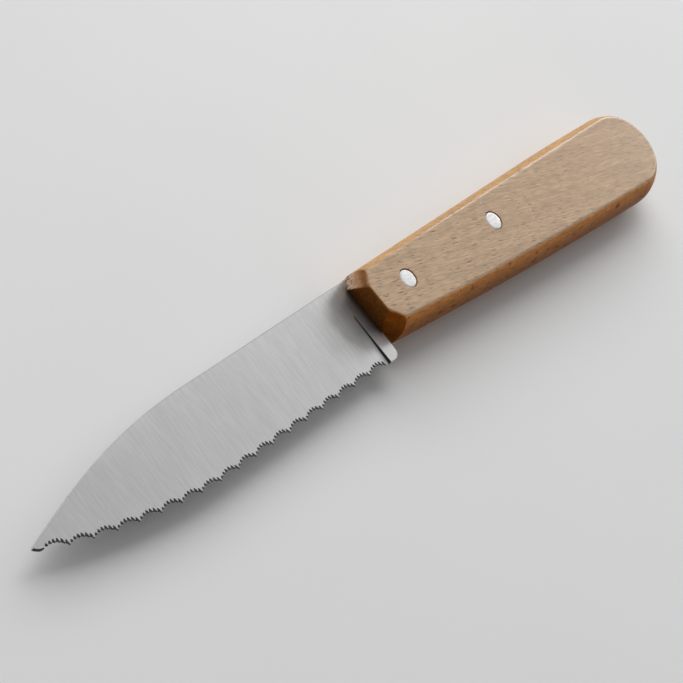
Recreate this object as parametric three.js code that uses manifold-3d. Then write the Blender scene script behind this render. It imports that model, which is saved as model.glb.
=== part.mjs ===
// Serrated paring knife: a ground steel blade riveted into the slot of a beech handle.
//
// Millimetres. The knife lies on its side: +X runs along it to the point, +Y to the cutting edge and
// +Z up. The origin is on the flat underside of the handle, at mid length, on the line of the rivets.

import * as THREE from 'three';
import { mergeVertices } from 'three/addons/utils/BufferGeometryUtils.js';
import Module from 'manifold-3d';

const wasm = await Module();
wasm.setup();

// Handle. Heights run from the rivet line to the side, at mid thickness.
const HANDLE_LENGTH = 102;
const HANDLE_THICKNESS = 10.5;
const HANDLE_SPINE = 7.15;
const FRONT_BELLY = 7.1;
const BUTT_BELLY = 13.1;
// How far the belly bows out of a straight line
const BELLY_SWELL = 0.55;
// How far the rounded sides stand out past the edges of the flats
const SIDE_CROWN = 2;

// Facets on the four corners of the handle's front, and the edge left between two of them
const FACET_LAND = 5.15;
const FACET_TURN = THREE.MathUtils.degToRad(43);
const FACET_TILT = THREE.MathUtils.degToRad(20);

// Blade. Its length runs from the front of the handle to the point, and drops run from the rivet line.
const BLADE_LENGTH = 99.3;
const BLADE_THICKNESS = 1.2;
const POINT_DROP = 1.7;
// The back of the blade lies just inside the spine of the handle
const BACK_INSET = 0.3;
// Sweep of the back down to the point: its length, the straight pulls at its ends and its last slope
const BACK_SWEEP = 48;
const BACK_EASE = 23;
const BACK_RUNOUT = 8.6;
const BACK_ANGLE = THREE.MathUtils.degToRad(14);
// Blunt nose between the end of the back and the point
const NOSE_LENGTH = 0.5;
const NOSE_HEIGHT = 0.7;

// Heel of the blade, where it leaves the handle
const HEEL_DROP = 10.5;
const HEEL_SETBACK = 0.1;
const HEEL_RADIUS = 1.7;
const RICASSO_LENGTH = 3.2;

// Line of the tooth points: its drop, and its sweep up to the point
const EDGE_DROP = 10.3;
const EDGE_SWEEP = 45;
const EDGE_EASE = 11;
const EDGE_RUNOUT = 10;
const EDGE_ANGLE = THREE.MathUtils.degToRad(25);
// Plain stretch of edge between the last tooth and the point, bowed out a little
const PLAIN_LENGTH = 2.2;
const PLAIN_HEIGHT = 1;
const PLAIN_BOW = 0.25;

// Serration: wide scallops, each made up of small notches
const SERRATION_START = 4.2;
const SCALLOP_COUNT = 18;
const SCALLOP_DEPTH = 0.85;
const NOTCH_COUNT = 6;
const NOTCH_DEPTH = 0.2;

// Grind on both sides of the blade, which thins it towards the edge
const GRIND_HEIGHT = 11;
const EDGE_THICKNESS = 0.4;

// Tang, the end of the blade inside the handle
const TANG_FRONT_DROP = 5.2;
const TANG_END_DROP = 4.2;
const TANG_TAIL = 8;
const TANG_CORNER = 3;

// Rivets
const RIVET_DIAMETER = 3.9;
const RIVET_SETBACK = 10.4;
const RIVET_SPACING = 31.5;
const RIVET_SINK = 0.05;
const RIVET_CHAMFER = 0.2;

// Clearances of the tang in its slot and of the rivets in their holes
const SLOT_CLEARANCE = 0.15;
const RIVET_CLEARANCE = 0.15;

// Fineness of the round faces
const ARC_STEPS = 16;
const CROWN_STEPS = 8;
const NOTCH_STEPS = 4;
const ROUND_SIDES = 32;

// Places worked out from the sizes
const FRONT = HANDLE_LENGTH / 2;
const MID_HEIGHT = HANDLE_THICKNESS / 2;
const BLADE_BACK = BACK_INSET - HANDLE_SPINE;
const HEEL_BACK = FRONT - HEEL_SETBACK;
const RIVETS = [FRONT - RIVET_SETBACK, FRONT - RIVET_SETBACK - RIVET_SPACING];
const TANG_END = RIVETS[1] - TANG_TAIL;
const POINT = new THREE.Vector2(FRONT + BLADE_LENGTH, POINT_DROP);
const FIRST_TOOTH = new THREE.Vector2(FRONT + SERRATION_START, EDGE_DROP);
const EDGE_BEND = new THREE.Vector2(POINT.x - EDGE_SWEEP, EDGE_DROP);
const LAST_TOOTH = new THREE.Vector2(POINT.x - PLAIN_LENGTH, POINT_DROP + PLAIN_HEIGHT);
const REACH = HANDLE_LENGTH + BLADE_LENGTH;

// Closed geometry to solid, and back

function solidOf(geometry) {
  const bare = geometry.clone();
  bare.deleteAttribute('normal');
  bare.deleteAttribute('uv');
  const merged = mergeVertices(bare);
  const vertProperties = new Float32Array(merged.attributes.position.array);
  const triVerts = new Uint32Array(merged.index.array);
  return new wasm.Manifold(new wasm.Mesh({ numProp: 3, vertProperties, triVerts }));
}

function geometryOf(solid) {
  const { vertProperties, triVerts } = solid.getMesh();
  const geometry = new THREE.BufferGeometry();
  geometry.setAttribute('position', new THREE.BufferAttribute(vertProperties, 3));
  geometry.setIndex(new THREE.BufferAttribute(triVerts, 1));
  geometry.computeVertexNormals();
  return geometry;
}

// Flat plate of an outline, centred on mid thickness

function plate(shape, thickness) {
  const options = { depth: thickness, bevelEnabled: false, curveSegments: ARC_STEPS };
  return new THREE.ExtrudeGeometry(shape, options).translate(0, 0, MID_HEIGHT - thickness / 2);
}

// Rod that stands through the handle at a rivet's place

function rod(x, radius, length) {
  const geometry = new THREE.CylinderGeometry(radius, radius, length, ROUND_SIDES);
  return geometry.rotateX(Math.PI / 2).translate(x, 0, MID_HEIGHT);
}

// Block that fills everything beyond a plane

function blockBeyond(point, normal) {
  const turn = new THREE.Quaternion().setFromUnitVectors(new THREE.Vector3(1, 0, 0), normal);
  const centre = point.clone().addScaledVector(normal, REACH / 2);
  const block = new THREE.BoxGeometry(REACH, REACH, REACH).applyQuaternion(turn);
  return block.translate(centre.x, centre.y, centre.z);
}

// Handle

function handleOutline() {
  const buttRadius = (HANDLE_SPINE + BUTT_BELLY) / 2;
  const buttX = buttRadius - FRONT;
  const buttY = BUTT_BELLY - buttRadius;
  const pastFront = FRONT + 2 * SIDE_CROWN;
  const bowX = (pastFront + buttX) / 2;
  const bowY = (FRONT_BELLY + BUTT_BELLY) / 2 + 2 * BELLY_SWELL;
  const shape = new THREE.Shape();
  shape.moveTo(pastFront, -HANDLE_SPINE);
  shape.lineTo(pastFront, FRONT_BELLY);
  shape.quadraticCurveTo(bowX, bowY, buttX, BUTT_BELLY);
  shape.absarc(buttX, buttY, buttRadius, Math.PI / 2, 1.5 * Math.PI);
  return shape.extractPoints(ARC_STEPS).shape;
}

// Outline drawn in by an even amount, with each corner kept a corner

function drawnIn(outline, amount) {
  return outline.map((point, i) => {
    const before = outline.at(i - 1);
    const after = outline[(i + 1) % outline.length];
    const toPoint = point.clone().sub(before).normalize();
    const onward = after.clone().sub(point).normalize();
    const inward = new THREE.Vector2(-toPoint.y - onward.y, toPoint.x + onward.x);
    return point.clone().addScaledVector(inward, amount / (1 + toPoint.dot(onward)));
  });
}

// Slab whose sides swell in an arc from one flat to the other

function crownedSlab(outline) {
  const arcRadius = (MID_HEIGHT ** 2 + SIDE_CROWN ** 2) / (2 * SIDE_CROWN);
  const halfAngle = Math.asin(MID_HEIGHT / arcRadius);
  const count = outline.length;
  const positions = [];
  const indices = [];
  for (let level = 0; level <= CROWN_STEPS; level += 1) {
    const angle = halfAngle * ((2 * level) / CROWN_STEPS - 1);
    const z = MID_HEIGHT + arcRadius * Math.sin(angle);
    for (const point of drawnIn(outline, arcRadius * (1 - Math.cos(angle)))) {
      positions.push(point.x, point.y, z);
    }
  }
  for (let level = 0; level < CROWN_STEPS; level += 1) {
    for (let i = 0; i < count; i += 1) {
      const a = level * count + i;
      const b = level * count + ((i + 1) % count);
      indices.push(a, b, b + count, a, b + count, a + count);
    }
  }
  const top = CROWN_STEPS * count;
  for (const [a, b, c] of THREE.ShapeUtils.triangulateShape(outline, [])) {
    indices.push(a, c, b, top + a, top + b, top + c);
  }
  const geometry = new THREE.BufferGeometry();
  geometry.setAttribute('position', new THREE.Float32BufferAttribute(positions, 3));
  geometry.setIndex(indices);
  return geometry;
}

// Slot for the tang, open at the front and along the spine, with room for the heel

function slotOutline() {
  const heelX = HEEL_BACK - SLOT_CLEARANCE;
  const endX = TANG_END - SLOT_CLEARANCE;
  const pastFront = FRONT + SIDE_CROWN;
  const pastSpine = -2 * HANDLE_SPINE;
  const pastBelly = 2 * BUTT_BELLY;
  const shape = new THREE.Shape();
  shape.moveTo(pastFront, pastSpine);
  shape.lineTo(pastFront, pastBelly);
  shape.lineTo(heelX, pastBelly);
  shape.lineTo(heelX, TANG_FRONT_DROP + SLOT_CLEARANCE);
  shape.lineTo(endX, TANG_END_DROP + SLOT_CLEARANCE);
  shape.lineTo(endX, pastSpine);
  return shape;
}

function handleGeometry() {
  const frontPoint = new THREE.Vector3(FRONT, 0, MID_HEIGHT);
  let solid = solidOf(crownedSlab(handleOutline()));
  solid = solid.subtract(solidOf(blockBeyond(frontPoint, new THREE.Vector3(1, 0, 0))));
  for (const side of [-1, 1]) {
    for (const face of [-1, 1]) {
      const corner = new THREE.Vector3(FRONT, (side * FACET_LAND) / 2, MID_HEIGHT * (1 + face));
      const normal = new THREE.Vector3(
        Math.cos(FACET_TILT) * Math.cos(FACET_TURN),
        side * Math.cos(FACET_TILT) * Math.sin(FACET_TURN),
        face * Math.sin(FACET_TILT),
      );
      solid = solid.subtract(solidOf(blockBeyond(corner, normal)));
    }
  }
  solid = solid.subtract(solidOf(plate(slotOutline(), BLADE_THICKNESS + 2 * SLOT_CLEARANCE)));
  for (const x of RIVETS) {
    const hole = rod(x, RIVET_DIAMETER / 2 + RIVET_CLEARANCE, 2 * HANDLE_THICKNESS);
    solid = solid.subtract(solidOf(hole));
  }
  return geometryOf(solid);
}

// Blade

// Points after the first along a shallow bow from one place to another, bowed towards the spine

function bowed(from, to, depth, steps) {
  const along = to.clone().sub(from);
  const across = new THREE.Vector2(along.y, -along.x).normalize();
  return Array.from({ length: steps }, (_, i) => {
    const t = (i + 1) / steps;
    return from.clone().addScaledVector(along, t).addScaledVector(across, 4 * depth * t * (1 - t));
  });
}

// Line of tooth points, straight from the heel and then swept up towards the point

function toothLine() {
  const ease = new THREE.Vector2(EDGE_BEND.x + EDGE_EASE, EDGE_DROP);
  const runout = new THREE.Vector2(
    LAST_TOOTH.x - EDGE_RUNOUT * Math.cos(EDGE_ANGLE),
    LAST_TOOTH.y + EDGE_RUNOUT * Math.sin(EDGE_ANGLE),
  );
  const line = new THREE.CurvePath();
  line.add(new THREE.LineCurve(FIRST_TOOTH, EDGE_BEND));
  line.add(new THREE.CubicBezierCurve(EDGE_BEND, ease, runout, LAST_TOOTH));
  return line;
}

function serration() {
  const teeth = toothLine().getSpacedPoints(SCALLOP_COUNT);
  const points = [teeth[0]];
  for (let i = 0; i < SCALLOP_COUNT; i += 1) {
    for (const cusp of bowed(teeth[i], teeth[i + 1], SCALLOP_DEPTH, NOTCH_COUNT)) {
      points.push(...bowed(points.at(-1), cusp, NOTCH_DEPTH, NOTCH_STEPS));
    }
  }
  return points;
}

function bladeOutline() {
  const sweepX = POINT.x - BACK_SWEEP;
  const noseX = POINT.x - NOSE_LENGTH;
  const noseY = POINT.y - NOSE_HEIGHT;
  const shape = new THREE.Shape();
  shape.moveTo(TANG_END + TANG_CORNER, BLADE_BACK);
  shape.lineTo(sweepX, BLADE_BACK);
  shape.bezierCurveTo(
    sweepX + BACK_EASE,
    BLADE_BACK,
    noseX - BACK_RUNOUT * Math.cos(BACK_ANGLE),
    noseY - BACK_RUNOUT * Math.sin(BACK_ANGLE),
    noseX,
    noseY,
  );
  shape.quadraticCurveTo(POINT.x, noseY + NOSE_LENGTH * Math.tan(BACK_ANGLE), POINT.x, POINT.y);
  const edge = serration().reverse();
  const plainX = (POINT.x + edge[0].x) / 2;
  const plainY = (POINT.y + edge[0].y) / 2 + 2 * PLAIN_BOW;
  shape.quadraticCurveTo(plainX, plainY, edge[0].x, edge[0].y);
  for (const point of edge) {
    shape.lineTo(point.x, point.y);
  }
  shape.lineTo(FIRST_TOOTH.x, HEEL_DROP);
  shape.absarc(HEEL_BACK + HEEL_RADIUS, HEEL_DROP - HEEL_RADIUS, HEEL_RADIUS, Math.PI / 2, Math.PI);
  shape.lineTo(HEEL_BACK, TANG_FRONT_DROP);
  shape.lineTo(TANG_END + TANG_CORNER, TANG_END_DROP);
  shape.quadraticCurveTo(TANG_END, TANG_END_DROP, TANG_END, TANG_END_DROP - TANG_CORNER);
  shape.lineTo(TANG_END, BLADE_BACK + TANG_CORNER);
  shape.quadraticCurveTo(TANG_END, BLADE_BACK, TANG_END + TANG_CORNER, BLADE_BACK);
  return shape;
}

// Wedge ground off one side of the blade, along the stretch of edge that starts at one place and aims
// at another. It is as deep at that edge as leaves the edge's thickness, and runs out above it.

function grindWedge(side, start, aim) {
  const face = (side * BLADE_THICKNESS) / 2;
  const slope = (side * (BLADE_THICKNESS - EDGE_THICKNESS)) / 2 / GRIND_HEIGHT;
  const shape = new THREE.Shape();
  shape.moveTo(-GRIND_HEIGHT, face);
  shape.lineTo(GRIND_HEIGHT, face);
  shape.lineTo(GRIND_HEIGHT, face - 2 * slope * GRIND_HEIGHT);
  const upright = new THREE.Matrix4().makeBasis(
    new THREE.Vector3(0, 1, 0),
    new THREE.Vector3(0, 0, 1),
    new THREE.Vector3(1, 0, 0),
  );
  const wedge = new THREE.ExtrudeGeometry(shape, { depth: BLADE_LENGTH, bevelEnabled: false });
  wedge.applyMatrix4(upright).rotateZ(aim.clone().sub(start).angle());
  return wedge.translate(start.x, start.y, MID_HEIGHT);
}

function bladeGeometry() {
  const plunge = new THREE.Vector2(FRONT + RICASSO_LENGTH, EDGE_DROP);
  let solid = solidOf(plate(bladeOutline(), BLADE_THICKNESS));
  for (const side of [-1, 1]) {
    solid = solid.subtract(solidOf(grindWedge(side, plunge, EDGE_BEND)));
    solid = solid.subtract(solidOf(grindWedge(side, EDGE_BEND, LAST_TOOTH)));
  }
  for (const x of RIVETS) {
    const hole = rod(x, RIVET_DIAMETER / 2 + RIVET_CLEARANCE, 2 * BLADE_THICKNESS);
    solid = solid.subtract(solidOf(hole));
  }
  return geometryOf(solid);
}

// Rivet, with its ends closed down just below the flats of the handle

function rivetGeometry(x) {
  const radius = RIVET_DIAMETER / 2;
  const half = MID_HEIGHT - RIVET_SINK;
  const profile = [
    new THREE.Vector2(0, -half),
    new THREE.Vector2(radius - RIVET_CHAMFER, -half),
    new THREE.Vector2(radius, RIVET_CHAMFER - half),
    new THREE.Vector2(radius, half - RIVET_CHAMFER),
    new THREE.Vector2(radius - RIVET_CHAMFER, half),
    new THREE.Vector2(0, half),
  ];
  return new THREE.LatheGeometry(profile, ROUND_SIDES).rotateX(Math.PI / 2).translate(x, 0, MID_HEIGHT);
}

// Finishes

function finish(color, roughness, metalness) {
  return new THREE.MeshStandardMaterial({ color, roughness, metalness, flatShading: true });
}

const brushedSteel = finish(0xb2b2b0, 0.35, 1);
const varnishedBeech = finish(0xb8a084, 0.5, 0);
const paleAlloy = finish(0xe0e1e2, 0.45, 1);

// Assembly

function part(name, geometry, material) {
  const mesh = new THREE.Mesh(geometry, material);
  mesh.name = name;
  return mesh;
}

const knife = new THREE.Group();
knife.name = 'serrated_knife';
knife.add(part('blade', bladeGeometry(), brushedSteel));
knife.add(part('handle', handleGeometry(), varnishedBeech));
knife.add(part('front_rivet', rivetGeometry(RIVETS[0]), paleAlloy));
knife.add(part('rear_rivet', rivetGeometry(RIVETS[1]), paleAlloy));

export default knife;
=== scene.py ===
"""Serrated paring knife, dressed over its solids in their shared frame.

The blade, the handle and the rivets are built anew at the sizes of the solids, with the softened edges,
the ground bevels and the finishes that the solids leave out. The classes give sizes in millimetres, and
the meshes are in metres: +X runs to the point, +Y to the cutting edge and +Z up out of the knife's side.
"""

import logging
import math
from collections.abc import Sequence
from dataclasses import dataclass
from enum import Enum

import bmesh
import bpy
import numpy as np
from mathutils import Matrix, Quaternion, Vector


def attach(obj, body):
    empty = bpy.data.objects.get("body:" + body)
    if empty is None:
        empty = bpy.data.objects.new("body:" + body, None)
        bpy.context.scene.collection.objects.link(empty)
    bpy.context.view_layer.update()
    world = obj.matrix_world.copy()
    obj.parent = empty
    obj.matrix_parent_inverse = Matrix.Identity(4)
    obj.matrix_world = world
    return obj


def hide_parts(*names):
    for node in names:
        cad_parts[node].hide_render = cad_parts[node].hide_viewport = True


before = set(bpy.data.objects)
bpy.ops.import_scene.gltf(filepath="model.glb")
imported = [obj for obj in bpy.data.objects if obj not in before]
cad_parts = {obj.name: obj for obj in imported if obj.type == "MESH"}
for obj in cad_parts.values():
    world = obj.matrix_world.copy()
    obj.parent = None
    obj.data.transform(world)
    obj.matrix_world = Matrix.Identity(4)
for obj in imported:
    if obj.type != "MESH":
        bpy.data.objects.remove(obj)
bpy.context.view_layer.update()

LOG = logging.getLogger("serrated_knife")
MM = 0.001
# Range that soft noise mostly stays in
NOISE = (0.3, 0.7)
# Turn of the wood's grain from the handle's length, in degrees
GRAIN_TURN = 12.0
# UV map that the grinding lines of the steel follow
BRUSH_MAP = "brush"

Socket = bpy.types.NodeSocket
Value = float | int | str | Sequence[float] | Socket
Pair = tuple[float, float]
Triple = tuple[float, float, float]
Colour = tuple[float, float, float, float]


class Mark(str, Enum):
    """Names of the mesh attributes that the node trees read."""

    ALONG = "along"
    INWARD = "inward"
    SHARE = "edge_share"
    GROOVE = "groove"
    GROUND = "ground_edge"
    PLUNGE = "plunge_way"
    DEPTH = "grind_depth"
    END_GRAIN = "end_grain"
    SIDE_GRAIN = "side_grain"
    BUTT_GRAIN = "butt_grain"
    BELLY = "belly_share"
    WORN = "worn_edge"


class Slot(str, Enum):
    """Names of material slots, which nothing in the script uses."""

    BLADE = "blade_steel"
    HANDLE = "handle_beech"
    RIVETS = "rivet_metal"


@dataclass(frozen=True)
class Grain:
    """Soft noise over a finish.

    Attributes:
        scale: patches in a millimetre, along each axis.
        detail: layers of finer noise in it.
        roughness: weight of the finer layers.
        turn: turn from the knife's length, in degrees.
        shift: move of the pattern, so that two patterns differ.
    """

    scale: Triple
    detail: float = 2.0
    roughness: float = 0.5
    turn: float = 0.0
    shift: float = 0.0


class NodeSheet:
    """A node tree being drawn up, with short ways to add and join its nodes."""

    def __init__(self, tree: bpy.types.NodeTree) -> None:
        """Takes a tree and empties it."""
        tree.nodes.clear()
        self.tree = tree

    def add(
        self, kind: str, inputs: dict[str | int, Value] | None = None, **options: Value
    ) -> bpy.types.Node:
        """Adds a node, sets its options and fills or joins its inputs.

        Args:
            kind: Blender's name for the type of node.
            inputs: a value, or another node's output, for each input by name or number.
            options: settings of the node itself.

        Returns:
            The new node.
        """
        node = self.tree.nodes.new(kind)
        for name, value in options.items():
            setattr(node, name, value)
        for key, value in (inputs or {}).items():
            if isinstance(value, Socket):
                self.tree.links.new(value, node.inputs[key])
            else:
                node.inputs[key].default_value = value
        return node

    def math(self, operation: str, first: Value, second: Value = 0.0) -> Socket:
        """Output of one sum of two values."""
        return self.add("ShaderNodeMath", {0: first, 1: second}, operation=operation).outputs[0]

    def chain(self, operation: str, values: Sequence[Value]) -> Socket:
        """Output of the same sum over all the values in turn.

        Args:
            operation: kind of sum.
            values: what is summed, in order.

        Returns:
            The output.
        """
        whole = values[0]
        for value in values[1:]:
            whole = self.math(operation, whole, value)
        return whole

    def product(self, *values: Value) -> Socket:
        """Product of the values."""
        return self.chain("MULTIPLY", values)

    def most(self, *values: Value) -> Socket:
        """Largest of the values."""
        return self.chain("MAXIMUM", values)

    def ramp(self, value: Value, start: float, end: float, low: float = 0.0, high: float = 1.0) -> Socket:
        """Smooth change from one level to another as a value crosses a range.

        Args:
            value: what is read.
            start: where the change starts.
            end: where it ends, above start.
            low: level up to the start.
            high: level from the end on.

        Returns:
            The output socket.
        """
        sockets = {"Value": value, "From Min": start, "From Max": end, "To Min": low, "To Max": high}
        return self.add("ShaderNodeMapRange", sockets, interpolation_type="SMOOTHSTEP").outputs[0]

    def fall(self, value: Value, start: float, end: float, high: float = 1.0) -> Socket:
        """Smooth fall from a level to 0 as a value crosses a range."""
        return self.ramp(value, start, end, high, 0.0)

    def blend(self, share: Value, first: Value, second: Value, mode: str = "MIX") -> Socket:
        """Colour between two colours, or one laid over the other in a mode."""
        sockets = {0: share, 6: first, 7: second}
        return self.add("ShaderNodeMix", sockets, data_type="RGBA", blend_type=mode).outputs[2]

    def dyed(self, colour: Value, dye: Value) -> Socket:
        """Colour multiplied by another one."""
        return self.blend(1.0, colour, dye, "MULTIPLY")

    def grey(self, level: Value) -> Socket:
        """Grey colour of one level."""
        return self.add("ShaderNodeCombineColor", {0: level, 1: level, 2: level}).outputs[0]

    def mark(self, mark: Mark) -> Socket:
        """Level of a mark of the mesh, in a material."""
        return self.add("ShaderNodeAttribute", attribute_name=mark.value).outputs["Fac"]

    def stretched(
        self, scale: Triple, turn: float = 0.0, shift: float = 0.0, wrapped: bool = False
    ) -> Socket:
        """Object coordinates in millimetres, stretched along the axes for a texture.

        Args:
            scale: texture units in a millimetre, along each axis.
            turn: turn about Z in degrees, before the stretch.
            shift: move along all axes after it, so that textures differ.
            wrapped: whether Y runs on with the height, so that a flat pattern goes round the sides.

        Returns:
            The vector socket.
        """
        place = self.add("ShaderNodeTexCoord").outputs["Object"]
        if wrapped:
            axes = self.add("ShaderNodeSeparateXYZ", {0: place}).outputs
            across = self.math("ADD", axes[1], axes[2])
            place = self.add("ShaderNodeCombineXYZ", {0: axes[0], 1: across}).outputs[0]
        sockets = {"Vector": place, "Angle": math.radians(turn)}
        turned = self.add("ShaderNodeVectorRotate", sockets, rotation_type="Z_AXIS").outputs[0]
        sockets = {"Vector": turned, "Location": [shift] * 3, "Scale": [value / MM for value in scale]}
        return self.add("ShaderNodeMapping", sockets).outputs[0]

    def place(self) -> Socket:
        """The place itself, in millimetres."""
        return self.stretched((1.0, 1.0, 1.0))

    def axes(self) -> list[Socket]:
        """X, Y and Z of the place, in millimetres."""
        return list(self.add("ShaderNodeSeparateXYZ", {0: self.place()}).outputs)

    def noise(self, grain: Grain) -> Socket:
        """Soft noise of about 0.3 to 0.7.

        Args:
            grain: its pattern.

        Returns:
            The level at each place.
        """
        place = self.stretched(grain.scale, grain.turn, grain.shift)
        sockets = {"Vector": place, "Scale": 1.0, "Detail": grain.detail, "Roughness": grain.roughness}
        return self.add("ShaderNodeTexNoise", sockets).outputs[0]

    def bump(self, height: Value, strength: float, relief: float) -> Socket:
        """Normal over a relief of some millimetres."""
        sockets = {"Height": height, "Strength": strength, "Distance": relief * MM}
        return self.add("ShaderNodeBump", sockets).outputs[0]

    def seen(self) -> Socket:
        """1 for rays from the camera and from shiny or clear surfaces, else 0."""
        path = self.add("ShaderNodeLightPath").outputs
        return self.most(*(path[f"Is {kind} Ray"] for kind in ("Camera", "Glossy", "Transmission")))


class Recipe(NodeSheet):
    """A Geometry Nodes tree with named inputs, to be run once on a piece."""

    def __init__(self, name: str, inputs: dict[str, str]) -> None:
        """Starts the tree.

        Args:
            name: name of the tree.
            inputs: kind of each named input, the geometry first.
        """
        super().__init__(bpy.data.node_groups.new(name, "GeometryNodeTree"))
        face = self.tree.interface
        self.keys = {
            key: face.new_socket(key, in_out="INPUT", socket_type=f"NodeSocket{kind}").identifier
            for key, kind in inputs.items()
        }
        face.new_socket("Piece", in_out="OUTPUT", socket_type="NodeSocketGeometry")
        self.given = self.add("NodeGroupInput").outputs

    def read(self, mark: Mark, kind: str) -> Socket:
        """Output of a mark of the mesh."""
        node = self.add("GeometryNodeInputNamedAttribute", {"Name": mark.value}, data_type=kind)
        return node.outputs["Attribute"]

    def close(self, made: Socket, finishes: dict[str, Socket | None]) -> None:
        """Ends the tree: makes copies real, sets the materials and gives the result out.

        Args:
            made: geometry that the tree has made.
            finishes: for each material input, the faces that take it, or None for all of them.
        """
        made = self.add("GeometryNodeRealizeInstances", {"Geometry": made}).outputs[0]
        for name, chosen in finishes.items():
            sockets = {"Geometry": made, "Material": self.given[name]}
            if chosen is not None:
                sockets["Selection"] = chosen
            made = self.add("GeometryNodeSetMaterial", sockets).outputs[0]
        self.add("NodeGroupOutput", {0: made})

    def run(self, piece: bpy.types.Object, values: dict[str, Value | bpy.types.Material]) -> None:
        """Runs the tree on a piece and makes the result its plain mesh.

        Args:
            piece: the piece, whose mesh is the first input.
            values: value of each other input.
        """
        modifier = piece.modifiers.new(self.tree.name, "NODES")
        modifier.node_group = self.tree
        for name, value in values.items():
            modifier[self.keys[name]] = value
        settle(piece)


@dataclass(frozen=True)
class Finish:
    """What a surface is made of.

    Attributes:
        name: name of its material.
    """

    name: str

    def draw(self, sheet: NodeSheet) -> dict[str, Value]:
        """Draws the nodes of the finish.

        Args:
            sheet: sheet of the material.

        Returns:
            Inputs of its surface shader.
        """
        raise NotImplementedError

    def material(self) -> bpy.types.Material:
        """Builds the material.

        Returns:
            The material.
        """
        material = bpy.data.materials.new(self.name)
        material.use_nodes = True
        sheet = NodeSheet(material.node_tree)
        shader = sheet.add("ShaderNodeBsdfPrincipled", self.draw(sheet))
        sheet.add("ShaderNodeOutputMaterial", {"Surface": shader.outputs[0]})
        return material


@dataclass(frozen=True)
class BrushedSteel(Finish):
    """Stainless steel with fine grinding lines from back to edge. Sizes and places in millimetres."""

    name: str = "brushed_steel"
    # Mean reflectance and mean roughness, each with how far the lines change it
    tone: float = 0.655
    contrast: float = 0.055
    roughness: float = 0.32
    uneven: float = 0.02
    # How far highlights spread across the lines
    stretch: float = 0.85
    # Width, length and height of a line, then the wide bands among the lines
    line: float = 0.20
    run: float = 4.5
    relief: float = 0.0008
    bands: Grain = Grain((0.35, 0.05, 0.05), shift=7.0)
    band_share: float = 0.25
    # Painted shade on the plunge wall where the grind starts, for the dark that the wall mirrors:
    # reflectance left under it, ways through the wall where the shade starts and ends, a lighter painted
    # shade that runs out behind it over the wall's curved foot, depths of the grind where the shade
    # starts
    plunge: float = 0.06
    wall_start: Pair = (-0.15, 0.12)
    wall_end: Pair = (0.8, 1.3)
    trail: Pair = (1.0, 3.4)
    trail_level: float = 0.36
    wall_depth: Pair = (0.002, 0.03)
    # Painted shade of the handle's reflection next to the handle: its share, X where it ends, what is
    # left after,
    # Y of its sides
    handle_shade: float = 0.65
    close: Pair = (51.1, 53.0)
    after: Pair = (54.5, 59.0)
    after_level: float = 0.32
    beside: tuple[Pair, Pair] = ((-7.0, -4.5), (3.5, 6.5))

    def wall_shade(self, sheet: NodeSheet) -> Socket:
        """Share of the painted shade on the plunge wall at each place, from the marks of the blade.

        Args:
            sheet: sheet of the material.

        Returns:
            The share, from 0 to 1.
        """
        way = sheet.mark(Mark.PLUNGE)
        past = sheet.most(sheet.fall(way, *self.wall_end), sheet.fall(way, *self.trail, self.trail_level))
        deep = sheet.ramp(sheet.mark(Mark.DEPTH), *self.wall_depth)
        return sheet.product(sheet.ramp(way, *self.wall_start), past, deep)

    def under_handle_shade(self, sheet: NodeSheet) -> Socket:
        """Share of the reflectance that is left next to the handle under the painted shade of the
        handle's reflection.

        Args:
            sheet: sheet of the material.

        Returns:
            The share, from 0 to 1.
        """
        x, y, _ = sheet.axes()
        past = sheet.most(sheet.fall(x, *self.close), sheet.fall(x, *self.after, self.after_level))
        start, end = self.beside
        # Painted shade of the handle's reflection, fading away from the handle
        lost = sheet.product(past, sheet.ramp(y, *start), sheet.fall(y, *end), self.handle_shade)
        return sheet.math("SUBTRACT", 1.0, lost)

    def draw(self, sheet: NodeSheet) -> dict[str, Value]:
        """Draws lines and bands, with painted shade on the plunge wall and next to the handle.

        Args:
            sheet: sheet of the material.

        Returns:
            Inputs of the surface shader.
        """
        lines = sheet.noise(Grain((1 / self.line, 1 / self.run, 1 / self.run), 3.0, 0.6))
        bands = sheet.product(sheet.noise(self.bands), self.band_share)
        mixed = sheet.math("ADD", sheet.product(lines, 1 - self.band_share), bands)
        tone = sheet.ramp(mixed, *NOISE, self.tone - self.contrast, self.tone + self.contrast)
        # Painted shade on the plunge wall, for the dark that the steep wall mirrors
        left = sheet.ramp(self.wall_shade(sheet), 0.0, 1.0, 1.0, self.plunge)
        rough, smooth = self.roughness + self.uneven, self.roughness - self.uneven
        tangent = sheet.add("ShaderNodeTangent", direction_type="UV_MAP", uv_map=BRUSH_MAP)
        return {
            "Base Color": sheet.grey(sheet.product(tone, left, self.under_handle_shade(sheet))),
            "Metallic": 1.0,
            "Roughness": sheet.ramp(lines, *NOISE, rough, smooth),
            "Anisotropic": self.stretch,
            "Normal": sheet.bump(lines, 0.6, self.relief),
            "Tangent": tangent.outputs[0],
        }


@dataclass(frozen=True)
class PatchyMetal(Finish):
    """Metal with dark and bright patches.

    Attributes:
        tones: reflectance of the dark and the bright patches.
        roughness: roughness of the dark and the bright patches.
        metal: share of bare metal, the rest being a dull skin.
        patches: pattern of the patches.
        relief: their height in millimetres.
    """

    tones: Pair
    roughness: Pair
    metal: float
    patches: Grain
    relief: float

    def draw(self, sheet: NodeSheet) -> dict[str, Value]:
        """Draws the patches.

        Args:
            sheet: sheet of the material.

        Returns:
            Inputs of the surface shader.
        """
        patches = sheet.noise(self.patches)
        return {
            "Base Color": sheet.grey(sheet.ramp(patches, *NOISE, *self.tones)),
            "Metallic": self.metal,
            "Roughness": sheet.ramp(patches, *NOISE, *self.roughness),
            "Normal": sheet.bump(patches, 0.5, self.relief),
        }


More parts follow.
